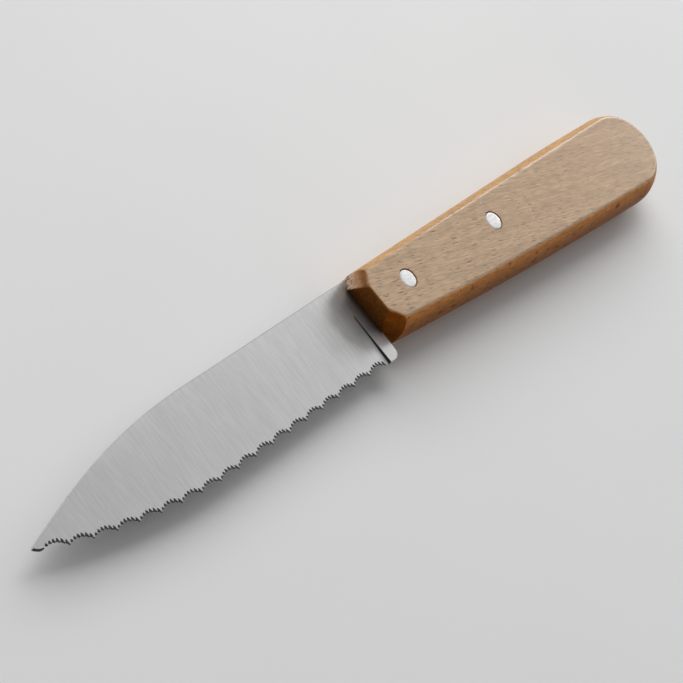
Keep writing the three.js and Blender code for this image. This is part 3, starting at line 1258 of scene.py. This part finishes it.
@dataclass
class Blade:
    """Steel blade: tang, heel, ground sides and a scalloped, notched edge. Sizes in millimetres."""

    # Height of the middle plane, thickness of the blank and at the line of the tooth points
    middle: float = 5.25
    thickness: float = 1.2
    edge_thickness: float = 0.4
    # How far the grind runs up from that line, and the rounding of its upper end
    grind_height: float = 11.0
    grind_ease: float = 0.4
    # X where the grind starts, length of the wall there from shallow to deepest, easy run at its
    # foot, and share of the depth that the wall takes
    plunge: float = 54.05
    plunge_wall: Pair = (0.20, 0.56)
    plunge_ease: float = 1.1
    wall_share: float = 0.8
    # Y of the straight back, the point, X where the back starts to drop, straight pulls at both ends
    # of that sweep, its last slope in degrees, and how far behind the point and over it it ends
    back: float = -6.85
    point: Pair = (150.3, 1.7)
    sweep: float = 102.3
    back_pulls: Pair = (23.0, 8.6)
    back_turn: float = 14.0
    nose: Pair = (0.08, 0.32)
    # X of the tang's end, Y of its edge at the end and at the heel, rounding of its end
    tang_end: float = 1.1
    tang_drops: Pair = (4.2, 5.2)
    tang_corner: float = 3.0
    # X and Y of the heel, and its rounding
    heel: Pair = (50.9, 10.5)
    heel_radius: float = 1.7
    # Line of the tooth points: start, end of its straight part, pulls and last slope of its sweep,
    # and end; then the bow of the plain edge from there to the point
    first_tooth: Pair = (55.2, 10.3)
    edge_bend: Pair = (105.3, 10.3)
    edge_pulls: Pair = (11.0, 10.0)
    edge_turn: float = 25.0
    last_tooth: Pair = (148.1, 2.7)
    plain_bow: float = 0.33
    # Number of scallops, notches in each, and their depths
    scallops: int = 18
    notches: int = 6
    scallop_depth: float = 0.85
    notch_depth: float = 0.2
    # Power of a notch's bow, which is a half ellipse at 0.5 and a parabola at 1
    notch_fullness: float = 0.65
    # Grooves of the upper side: depth past the notch, power of the bow, lean to the point as a share
    # of the depth, and how much shallower they get along a scallop
    groove_depth: float = 0.47
    groove_fullness: float = 1.8
    groove_lean: float = 0.14
    groove_fade: float = 0.5
    # Width of the bevel at the teeth, and the share of the thickness at which it meets the edge; the
    # same of the broken edge of tang and heel; then the width of the plain edge's bevel
    bevel: float = 0.05
    lip: float = 0.1
    blunt_bevel: float = 0.1
    blunt_lip: float = 0.9
    plain_bevel: float = 0.32
    # Distance inside the edge where the teeth no longer shape the side
    root: float = 3.2
    # Rows of points from the back to the root and from there to the bevel, as shares
    side_rows: tuple[float, ...] = (0.0, 0.05, 0.15, 0.3, 0.45, 0.6, 0.75, 0.88, 1.0)
    tooth_rows: tuple[float, ...] = (0.66, 0.33, 0.0)
    # Width and drop of the back's broken edge, the same near the point, the run between them
    chamfer: Pair = (0.10, 0.09)
    tip_chamfer: Pair = (0.05, 0.12)
    chamfer_run: float = 20.0
    # Lines of the skin in a notch, and turn in degrees from which an edge is sharp
    fineness: int = 10
    crease: float = 28.0

    def back_line(self) -> np.ndarray:
        """Points of the back from the tang's end to the point, with X growing.

        Returns:
            The points.
        """
        corner, end = self.tang_corner, self.tang_end
        tang = bezier([(end, self.back + corner), (end, self.back), (end + corner, self.back)], 12)
        ease, runout = self.back_pulls
        nose = (self.point[0] - self.nose[0], self.point[1] - self.nose[1])
        pulls = [(self.sweep + ease, self.back), stepped(nose, -runout, self.back_turn)]
        sweep = bezier([(self.sweep, self.back), *pulls, nose], 160)
        tip = bezier([nose, (self.point[0], nose[1] + 0.05), self.point], 24)
        return np.vstack([tang, sweep, tip[1:]])

    def tooth_line(self) -> np.ndarray:
        """Points along the line of the tooth points.

        Returns:
            The points.
        """
        ease, runout = self.edge_pulls
        bend, last = self.edge_bend, self.last_tooth
        pulls = [(bend[0] + ease, bend[1]), stepped(last, -runout, -self.edge_turn)]
        straight = np.linspace(self.first_tooth, bend, 200)
        return np.vstack([straight, bezier([bend, *pulls, last], 240)[1:]])

    def plain_line(self) -> np.ndarray:
        """Points along the plain edge from the last tooth to the point.

        Returns:
            The points.
        """
        (ax, ay), (bx, by) = self.last_tooth, self.point
        bow = ((ax + bx) / 2, (ay + by) / 2 + 2 * self.plain_bow)
        return bezier([self.last_tooth, bow, self.point], 16)

    def blunt(self, places: Sequence[Pair] | np.ndarray) -> list[Column]:
        """Lines to the broken edge of the tang and the heel."""
        return [Column((x, y), self.blunt_bevel, self.blunt_lip) for x, y in places]

    def tang_lines(self) -> list[Column]:
        """Lines of the tang.

        Returns:
            The lines, in order.
        """
        end_drop, front_drop = self.tang_drops
        corner, end = self.tang_corner, self.tang_end
        turn = bezier([(end, end_drop - corner), (end, end_drop), (end + corner, end_drop)], 10)
        x = np.linspace(end + corner, self.heel[0] - 0.15, 40)[1:]
        rise = (x - end - corner) / (self.heel[0] - end - corner)
        return self.blunt([*turn, *zip(x, end_drop + rise * (front_drop - end_drop))])

    def heel_lines(self) -> list[Column]:
        """Lines of the heel and of the foot of the grind, up to the first tooth.

        Returns:
            The lines, in order.
        """
        x, y = self.heel
        radius = self.heel_radius
        angles = np.radians(np.linspace(180, 90, 12))
        turn = [(x + radius * (1 + math.cos(a)), y - radius * (1 - math.sin(a))) for a in angles]
        foot = self.plunge + self.plunge_wall[1] + 0.05
        near = self.first_tooth[0] - 0.25
        straight = [
            *np.linspace(x + radius, self.plunge - 0.1, 8)[1:],
            *np.linspace(self.plunge - 0.05, foot, 16),
            *np.linspace(foot, near, 4)[1:],
        ]
        lines = self.blunt([*turn, *((place, y) for place in straight)])
        for way in np.linspace(0, 1, 7)[1:-1]:
            place = (near + way * (self.first_tooth[0] - near), y + way * (self.first_tooth[1] - y))
            bevel = self.blunt_bevel + way * (self.bevel - self.blunt_bevel)
            lines.append(Column(place, bevel, self.blunt_lip + way * (self.lip - self.blunt_lip)))
        return lines

    def tooth_lines(self) -> list[Column]:
        """Lines of the serration, evenly along the line of the tooth points.

        Returns:
            The lines, in order.
        """
        curve = self.tooth_line()
        steps = np.linalg.norm(np.diff(curve, axis=0), axis=1)
        length = np.concatenate([[0], np.cumsum(steps)])
        slopes = np.gradient(curve, length, axis=0)
        count = self.scallops * self.notches * self.fineness
        lines = []
        for i in range(count + 1):
            place = length[-1] * i / count
            x, y = (float(np.interp(place, length, curve[:, k])) for k in (0, 1))
            slope = np.array([np.interp(place, length, slopes[:, k]) for k in (0, 1)])
            slope /= np.linalg.norm(slope)
            inward = (slope[1], -slope[0])
            lines.append(Column((x, y), self.bevel, self.lip, inward, self.scallops * i / count, 1.0))
        return lines

    def tip_lines(self) -> list[Column]:
        """Lines of the plain edge up to the point, where the sides meet in one upright edge.

        Returns:
            The lines, in order.
        """
        curve = self.plain_line()
        slopes = np.gradient(curve, axis=0)
        slopes /= np.linalg.norm(slopes, axis=1)[:, None]
        lines = [
            Column((x, y), self.plain_bevel, self.lip, (slope[1], -slope[0]))
            for (x, y), slope in zip(curve[1:], slopes[1:])
        ]
        lines[-1].lip = 0.0
        return lines

    def slope(self) -> float:
        """How much half the thickness grows with each millimetre from the edge."""
        return (self.thickness - self.edge_thickness) / 2 / self.grind_height

    def grind_depth(self, place: np.ndarray) -> np.ndarray:
        """Depth of the full grind under the side of the blank.

        Args:
            place: points in plan.

        Returns:
            Depth at each point.
        """
        curve = np.vstack([self.tooth_line()[::4], self.plain_line()])
        high = np.array([np.sqrt(((curve - point) ** 2).sum(axis=1).min()) for point in place])
        straight = place[:, 0] < self.first_tooth[0] + 40
        high[straight] = self.first_tooth[1] - place[straight, 1]
        below = self.grind_height - high
        return 0.5 * (below + np.sqrt(below**2 + self.grind_ease**2)) * self.slope()

    def wall_end(self, depth: np.ndarray) -> np.ndarray:
        """X of the foot of the plunge wall where the grind has some depth."""
        low, high = self.plunge_wall
        return self.plunge + low + (high - low) * depth / (self.slope() * self.grind_height)

    def half_thickness(self, place: np.ndarray) -> np.ndarray:
        """Half the thickness of the ground blade.

        Args:
            place: points in plan.

        Returns:
            Half thickness at each point.
        """
        depth = self.grind_depth(place)
        foot = self.wall_end(depth)
        wall = share(place[:, 0], self.plunge, foot - self.plunge)
        ease = share(place[:, 0], foot, self.plunge_ease)
        ground = self.wall_share * wall + (1 - self.wall_share) * (1 - (1 - ease) ** 2)
        return self.thickness / 2 - depth * ground

    def skin(self) -> bpy.types.Object:
        """Closed skin of the blade with a plain edge, marked for the serration.

        Returns:
            The object, with its marks.
        """
        lines = [*self.tang_lines(), *self.heel_lines(), *self.tooth_lines(), *self.tip_lines()]
        edge, inward, lip, toothed, along = (
            np.array([getattr(line, name) for line in lines])
            for name in ("edge", "inward", "lip", "toothed", "along")
        )
        back = self.back_line()
        height = edge[:, 1] - np.interp(edge[:, 0], back[:, 0], back[:, 1])
        # Bevel, root and chamfer shrink with the height that is left near the point
        bevel = np.minimum([line.bevel for line in lines], 0.8 * height)[:, None]
        root = np.maximum(np.minimum(self.root, 0.75 * height)[:, None], 1.15 * bevel)
        foot = edge + inward * root
        top = np.column_stack([foot[:, 0], np.interp(foot[:, 0], back[:, 0], back[:, 1])])
        nearing = share(foot[:, 0], self.sweep, self.chamfer_run)[:, None]
        chamfer = (1 - nearing) * self.chamfer + nearing * self.tip_chamfer
        chamfer[-1] = 0
        inner = top + (0, 1) * np.minimum(chamfer[:, :1], 0.2 * (foot - top)[:, 1:])
        body = [inner + (foot - inner) * way for way in self.side_rows]
        teeth = [edge + inward * (bevel + (root - bevel) * way) for way in self.tooth_rows]
        shares = [*[0.0] * len(body), *(1 - way for way in self.tooth_rows)]
        part = along % 1
        taken = 4 * part * (1 - part) * self.scallop_depth + self.notch_depth
        room = 0.9 * root[:, 0] - bevel[:, 0] - taken
        deep = np.clip(room / self.groove_depth, 0, 1 + self.groove_fade * (0.5 - part))[:, None]
        lean = inward + self.groove_lean * np.column_stack([-inward[:, 1], inward[:, 0]])
        rows: list[np.ndarray] = []
        marks: list[np.ndarray] = []

        def lay(plan: np.ndarray, z: np.ndarray, rise: float, level: float, cut: float) -> None:
            """Lays one row of points, with their way inward, their share of it and their groove.

            Args:
                plan: points in plan.
                z: their heights.
                rise: 1 on the upper side, -1 on the lower one and 0 on the back.
                level: share of the way inward.
                cut: share of the groove.
            """
            rows.append(np.column_stack([plan, z]))
            climb = np.full((len(plan), 1), rise * self.slope())
            groove = cut * deep * np.hstack([lean, climb])
            mark = np.hstack([inward, climb, np.full_like(climb, level), groove])
            marks.append(mark * toothed[:, None])

        def side(sign: float, plans: list[np.ndarray], levels: list[float], grooved: float) -> None:
            """Lays the rows of one side of the blade."""
            for plan, level in zip(plans, levels):
                lay(plan, self.middle + sign * self.half_thickness(plan), sign, level, grooved * level)

        half = self.half_thickness(inner)
        rim = half - np.minimum(chamfer[:, 1], 0.4 * half)
        lay(top, self.middle + rim, 0.0, 0.0, 0.0)
        side(1.0, body + teeth, shares, 1.0)
        half = self.half_thickness(edge)
        lay(edge, self.middle - half + 2 * half * lip, -1.0, 1.0, 0.0)
        bevelled = len(rows) - 2
        side(-1.0, [edge, teeth[1], teeth[0], *body[::-1]], [1.0, *shares[-2::-1]], 0.0)
        lay(top, self.middle - rim, 0.0, 0.0, 0.0)
        return self.stitch(rows, marks, along, bevelled)

    def stitch(
        self, rows: list[np.ndarray], marks: list[np.ndarray], along: np.ndarray, bevelled: int
    ) -> bpy.types.Object:
        """Joins the rows of points to a closed skin.

        Args:
            rows: points of each row, in order round the blade.
            marks: way inward, share of it and groove of each point.
            along: place of each line along the serration.
            bevelled: the row that the bevel starts at.

        Returns:
            The object, with its marks.
        """
        count = len(rows)
        points = np.stack(rows, axis=1).reshape(-1, 3)
        marked = np.stack(marks, axis=1).reshape(-1, 7)
        # The bevel starts a few lines before the first tooth
        first = int(np.argmax(along > 0)) - 3
        faces: list[Sequence[int]] = [range(count)]
        bevels = [False]
        for i in range(len(along) - 1):
            a, b = i * count, (i + 1) * count
            faces += [(a + j, b + j, b + (j + 1) % count, a + (j + 1) % count) for j in range(count)]
            bevels += [j == bevelled and i >= first for j in range(count)]
        depth = self.grind_depth(points[:, :2])
        way = (points[:, 0] - self.plunge) / (self.wall_end(depth) - self.plunge)
        piece = new_piece("ground_blade", points, faces)
        mesh = piece.data
        levels = {
            Mark.ALONG: np.repeat(along, count),
            Mark.SHARE: marked[:, 3],
            Mark.PLUNGE: way,
            Mark.DEPTH: depth,
        }
        for mark, values in levels.items():
            layer = mesh.attributes.new(mark.value, "FLOAT", "POINT")
            layer.data.foreach_set("value", values.astype(np.float32))
        for mark, values in {Mark.INWARD: marked[:, :3], Mark.GROOVE: marked[:, 4:]}.items():
            layer = mesh.attributes.new(mark.value, "FLOAT_VECTOR", "POINT")
            layer.data.foreach_set("vector", values.astype(np.float32).ravel())
        layer = mesh.attributes.new(Mark.GROUND.value, "BOOLEAN", "FACE")
        layer.data.foreach_set("value", np.array(bevels))
        skin = bmesh.new()
        skin.from_mesh(mesh)
        bmesh.ops.remove_doubles(skin, verts=skin.verts, dist=1e-7)
        bmesh.ops.recalc_face_normals(skin, faces=skin.faces)
        skin.to_mesh(mesh)
        skin.free()
        return piece

    def recipe(self) -> Recipe:
        """Draws the tree that cuts scallops, notches and grooves and gives the steel its finishes.

        Returns:
            The recipe.
        """
        sizes = ("Scallop Depth", "Notch Depth", "Notch Fullness", "Groove Depth", "Groove Fullness")
        kinds = {"Blade": "Geometry", **dict.fromkeys(sizes, "Float"), "Notches": "Int"}
        recipe = Recipe("serration", {**kinds, "Steel": "Material", "Ground Edge": "Material"})
        given = recipe.given

        def bow(place: Socket, depth: str, fullness: Value) -> Socket:
            """Depth of a bow that repeats with each whole number of the place.

            Args:
                place: what is read.
                depth: name of the input for its depth.
                fullness: power of the bow.

            Returns:
                The depth.
            """
            part = recipe.math("FRACT", place)
            rise = recipe.product(part, recipe.math("SUBTRACT", 1.0, part), 4.0)
            return recipe.product(recipe.math("POWER", rise, fullness), given[depth])

        along = recipe.read(Mark.ALONG, "FLOAT")
        places = recipe.product(along, given["Notches"])
        scallop = bow(along, "Scallop Depth", 1.0)
        notch = bow(places, "Notch Depth", given["Notch Fullness"])
        groove = bow(places, "Groove Depth", given["Groove Fullness"])
        depth = recipe.product(recipe.math("ADD", scallop, notch), recipe.read(Mark.SHARE, "FLOAT"))
        moves = {}
        for i, (mark, way) in enumerate(((Mark.INWARD, depth), (Mark.GROOVE, groove))):
            sockets = {0: recipe.read(mark, "FLOAT_VECTOR"), "Scale": way}
            moves[i] = recipe.add("ShaderNodeVectorMath", sockets, operation="SCALE").outputs[0]
        move = recipe.add("ShaderNodeVectorMath", moves).outputs[0]
        cut = recipe.add("GeometryNodeSetPosition", {"Geometry": given["Blade"], "Offset": move})
        recipe.close(cut.outputs[0], {"Steel": None, "Ground Edge": recipe.read(Mark.GROUND, "BOOLEAN")})
        return recipe

    def lay_brush(self, piece: bpy.types.Object) -> None:
        """Gives the blade the map that its grinding lines follow: U along the knife, V across it.

        Args:
            piece: the blade, cut.
        """
        mesh = piece.data
        corners = np.zeros(len(mesh.loops), dtype=np.int32)
        mesh.loops.foreach_get("vertex_index", corners)
        points = np.zeros(3 * len(mesh.vertices))
        mesh.vertices.foreach_get("co", points)
        places = points.reshape(-1, 3)[corners, :2] * 5
        layer = mesh.uv_layers.new(name=BRUSH_MAP)
        layer.data.foreach_set("uv", places.astype(np.float32).ravel())

    def build(self, steel: BrushedSteel, ground: GroundEdge, rivets: Rivets) -> bpy.types.Object:
        """Builds the blade and hands it over.

        Args:
            steel: finish of the sides.
            ground: finish of the tooth bevel.
            rivets: the rivets that the holes of its tang are for.

        Returns:
            The piece.
        """
        piece = self.skin()
        values = {
            "Scallop Depth": self.scallop_depth * MM,
            "Notch Depth": self.notch_depth * MM,
            "Notch Fullness": self.notch_fullness,
            "Notches": self.notches,
            "Groove Depth": self.groove_depth * MM,
            "Groove Fullness": self.groove_fullness,
            "Steel": steel.material(),
            "Ground Edge": ground.material(),
        }
        self.recipe().run(piece, values)
        cut_out(piece, rivets.cutters())
        round_off(piece, self.crease)
        self.lay_brush(piece)
        hand_over(piece, ["blade"])
        return piece


@dataclass(frozen=True)
class Lamp:
    """Flat lamp that faces the knife. Sizes in metres.

    Attributes:
        name: name of the lamp.
        place: where it hangs.
        size: width and height.
        power: power in watts.
        mirrored: whether shiny surfaces show it.
    """

    name: str
    place: Triple
    size: Pair
    power: float
    mirrored: bool = True

    def hang(self) -> None:
        """Hangs the lamp in the scene."""
        lamp = bpy.data.lights.new(self.name, "AREA")
        lamp.shape = "RECTANGLE"
        lamp.size, lamp.size_y = self.size
        lamp.energy = self.power
        holder = bpy.data.objects.new(self.name, lamp)
        holder.location = self.place
        holder.visible_glossy = self.mirrored
        holder.rotation_mode = "QUATERNION"
        holder.rotation_quaternion = (-Vector(self.place)).to_track_quat("-Z", "Y")
        bpy.context.scene.collection.objects.link(holder)


@dataclass
class Studio:
    """Pale floor under soft light from the spine side. Sizes in metres."""

    # Half the width of the floor
    floor_half: float = 4.0
    # Large lamp over the knife, low bright window behind the handle, small lamp along the spine
    key: Lamp = Lamp("key", (-0.24, -0.66, 0.68), (0.9, 0.9), 8.5, mirrored=False)
    window: Lamp = Lamp("window", (-1.10, -0.10, 0.47), (0.75, 0.34), 2.3)
    rim: Lamp = Lamp("rim", (-1.26, -0.60, 0.52), (0.75, 0.20), 2.8)
    # Surroundings: direction of their brightest part, how far a direction faces it where they start
    # and end to brighten, levels from dim to bright, and the least that camera and shine see
    sky_aim: Triple = (-0.55, -0.50, 0.67)
    sky_turn: Pair = (-0.45, 0.95)
    sky_low: float = 0.06
    sky_high: float = 0.45
    sky_shown: float = 0.28

    def build(self, finish: PaleFloor) -> None:
        """Builds the floor, the surroundings and the lamps.

        Args:
            finish: finish of the floor.
        """
        wide = self.floor_half / MM
        corners = np.array([(-wide, -wide, 0), (wide, -wide, 0), (wide, wide, 0), (-wide, wide, 0)])
        floor = new_piece("floor", corners, [(0, 1, 2, 3)])
        floor.data.materials.append(finish.material())
        self.light_surroundings()
        for lamp in (self.key, self.window, self.rim):
            lamp.hang()
        LOG.info("studio built")

    def light_surroundings(self) -> None:
        """Lights the world with a soft rise from its dim to its bright side."""
        world = bpy.data.worlds.new("studio")
        bpy.context.scene.world = world
        world.use_nodes = True
        sheet = NodeSheet(world.node_tree)
        way = sheet.add("ShaderNodeTexCoord").outputs["Generated"]
        aim = Vector(self.sky_aim).normalized()
        facing = sheet.add("ShaderNodeVectorMath", {0: way, 1: aim}, operation="DOT_PRODUCT")
        level = sheet.ramp(facing.outputs["Value"], *self.sky_turn, self.sky_low, self.sky_high)
        least = sheet.ramp(sheet.seen(), 0.0, 1.0, 0.0, self.sky_shown)
        colour = sheet.grey(sheet.most(level, least))
        light = sheet.add("ShaderNodeBackground", {"Color": colour, "Strength": 1.0})
        sheet.add("ShaderNodeOutputWorld", {"Surface": light.outputs[0]})


@dataclass
class PhotoCamera:
    """Camera at the photograph's viewing angle. Places in millimetres."""

    # Where it stands and what it looks at
    place: Triple = (459.92, 40.342, 349.123)
    target: Triple = (60.587, 2.1405, 5.25)
    # Turn about its line of sight in degrees, focal length, width of the sensor
    roll: float = 47.2615
    lens: float = 154.264
    sensor: float = 36.0
    # Nearest and farthest distance that it shows, in metres
    clip: Pair = (0.01, 50.0)

    def build(self) -> None:
        """Builds the camera and makes it the scene's own."""
        data = bpy.data.cameras.new("photo_camera")
        data.lens = self.lens
        data.sensor_width = self.sensor
        data.clip_start, data.clip_end = self.clip
        camera = bpy.data.objects.new("photo_camera", data)
        place, target = Vector(self.place) * MM, Vector(self.target) * MM
        camera.location = place
        camera.rotation_mode = "QUATERNION"
        roll = Quaternion((0.0, 0.0, 1.0), math.radians(self.roll))
        camera.rotation_quaternion = (target - place).to_track_quat("-Z", "Y") @ roll
        bpy.context.scene.collection.objects.link(camera)
        bpy.context.scene.camera = camera
        LOG.info("camera set")


def main() -> None:
    """Builds the knife piece by piece, then the studio and the camera."""
    logging.basicConfig(level=logging.INFO, format="%(name)s: %(message)s")
    bpy.context.scene.view_settings.view_transform = "Standard"
    rivets = Rivets()
    Handle().build(VarnishedBeech(), rivets)
    Blade().build(BrushedSteel(), GroundEdge(), rivets)
    rivets.build(PaleAlloy())
    Studio().build(PaleFloor())
    PhotoCamera().build()


if __name__ == "__main__":
    main()
